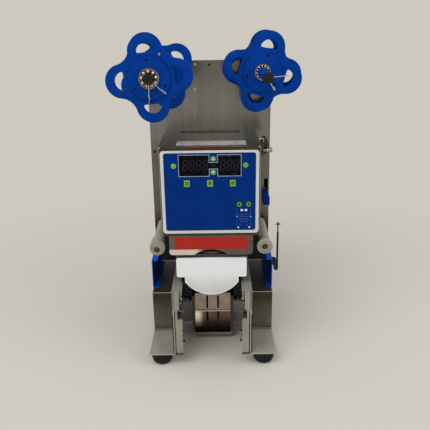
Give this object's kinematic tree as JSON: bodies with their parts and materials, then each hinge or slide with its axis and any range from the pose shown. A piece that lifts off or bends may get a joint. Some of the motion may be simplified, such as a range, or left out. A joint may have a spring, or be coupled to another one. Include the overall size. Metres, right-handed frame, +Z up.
{
  "type": "cup sealing machine",
  "caption": "Table-top machine that seals film onto cups: sliding tray, heated press with round blade, film reels, rollers and a control panel.",
  "frame": {"origin": "on the table, under the middle of the machine's width and depth", "axes": "+X to the machine's right seen from the front, +Y into its depth, +Z up"},
  "size_m": [0.3691, 0.35, 0.6559],
  "materials": {
    "satin_steel": "satin brushed",
    "plate_steel": "satin brushed",
    "bronze_steel": "bronze tinted, polished",
    "blue_paint": "satin",
    "blue_plastic": "satin",
    "panel_film": "semi gloss",
    "window": "gloss",
    "circuit_board": "semi gloss",
    "white_plastic": "satin",
    "ivory_nylon": "satin",
    "chrome": "polished",
    "machined_steel": "machined",
    "aluminium": "machined",
    "motor_metal": "satin",
    "black_plastic": "matte",
    "rubber": "matte"
  },
  "bodies": {
    "machine": {"base_side_left": "satin_steel", "base_side_right": "satin_steel", "inner_plate_left": "satin_steel", "inner_plate_right": "satin_steel", "lower_back_panel": "satin_steel", "head_casing": "satin_steel", "chin_plate": "satin_steel", "latch_bracket": "satin_steel", "back_plate": "plate_steel", "rear_cover": "plate_steel", "deck_plate": "plate_steel", "vent_frame": "plate_steel", "press_bracket": "plate_steel", "tray_rail_left": "plate_steel", "tray_rail_right": "plate_steel", "vent_cover": "bronze_steel", "side_cover_left": "blue_paint", "side_cover_right": "blue_paint", "control_panel": "panel_film", "display_window": "window", "control_board": "circuit_board", "cross_rod": "chrome", "roller_spindle_left": "machined_steel", "roller_spindle_right": "machined_steel", "press_motor": "motor_metal", "takeup_motor": "motor_metal", "tray_motor": "motor_metal", "supply_bearing": "motor_metal", "film_plate": "black_plastic", "lever_boss": "black_plastic", "power_inlet": "black_plastic", "foot_front_left": "rubber", "foot_front_right": "rubber", "foot_rear_left": "rubber", "foot_rear_right": "rubber"},
    "supply_reel": {"supply_spindle": "chrome", "supply_rear_flange": "blue_plastic"},
    "supply_outer_flange": {"supply_front_flange": "blue_plastic", "supply_collar": "chrome"},
    "takeup_reel": {"takeup_spindle": "chrome", "takeup_rear_flange": "blue_plastic", "takeup_front_flange": "blue_plastic", "takeup_sleeve": "blue_plastic"},
    "roller_left": {"guide_roller_left": "ivory_nylon"},
    "roller_right": {"guide_roller_right": "ivory_nylon"},
    "tray": {"tray_arm_left": "satin_steel", "tray_arm_right": "satin_steel", "tray_plate": "satin_steel", "cup_ring": "aluminium", "tray_shield": "white_plastic", "tray_rack": "machined_steel"},
    "pinion": {"tray_pinion": "machined_steel"},
    "press": {"press_beam": "aluminium", "heater_plate": "aluminium", "cutter_ring": "machined_steel"},
    "cam": {"press_cam": "machined_steel"},
    "lever": {"side_lever": "black_plastic"},
    "sensor": {"photo_sensor": "blue_plastic"},
    "latch": {"latch_pin": "chrome"},
    "rocker": {"rocker_switch": "black_plastic"}
  },
  "joints": [
    {"name": "supply_reel_spin", "type": "hinge", "parent": "machine", "child": "supply_reel", "pos_m": [-0.1057, -0.157, 0.577], "axis": [0, 1, 0], "continuous": true},
    {"name": "supply_flange_slide", "type": "slide", "parent": "supply_reel", "child": "supply_outer_flange", "axis": [0, 1, 0], "range_m": [0, 0.1]},
    {"name": "takeup_reel_spin", "type": "hinge", "parent": "machine", "child": "takeup_reel", "pos_m": [0.1057, -0.157, 0.577], "axis": [0, 1, 0], "continuous": true},
    {"name": "roller_left_spin", "type": "hinge", "parent": "machine", "child": "roller_left", "pos_m": [-0.106, -0.155, 0.253], "axis": [0, 1, 0], "continuous": true},
    {"name": "roller_right_spin", "type": "hinge", "parent": "machine", "child": "roller_right", "pos_m": [0.106, -0.145, 0.253], "axis": [0, 1, 0], "continuous": true},
    {"name": "tray_slide", "type": "slide", "parent": "machine", "child": "tray", "axis": [0, -1, 0], "range_m": [0, 0.12]},
    {"name": "pinion_spin", "type": "hinge", "parent": "machine", "child": "pinion", "pos_m": [-0.0537, 0.031, 0.20025], "axis": [-1, 0, 0], "range_deg": [0, 860]},
    {"name": "press_slide", "type": "slide", "parent": "machine", "child": "press", "axis": [0, 0, -1], "range_m": [0, 0.014]},
    {"name": "cam_spin", "type": "hinge", "parent": "machine", "child": "cam", "pos_m": [0, -0.072, 0.397], "axis": [0, 1, 0], "range_deg": [0, 270.1]},
    {"name": "lever_swing", "type": "hinge", "parent": "machine", "child": "lever", "pos_m": [0.1371, -0.043, 0.176], "axis": [1, 0, 0], "range_deg": [-40, 60]},
    {"name": "sensor_slide", "type": "slide", "parent": "machine", "child": "sensor", "axis": [0, 0, 1], "range_m": [0, 0.02]},
    {"name": "latch_slide", "type": "slide", "parent": "machine", "child": "latch", "axis": [1, 0, 0], "range_m": [0, 0.006], "stiffness_N_per_m": 150},
    {"name": "rocker_tilt", "type": "hinge", "parent": "machine", "child": "rocker", "pos_m": [-0.08, 0.168, 0.257], "axis": [1, 0, 0], "range_deg": [-16, 0]}
  ],
  "couplings": [
    {"joint": "pinion_spin", "follows": "tray_slide", "rad_per_m": 125},
    {"joint": "cam_spin", "follows": "press_slide", "rad_per_m": 336.6}
  ]
}
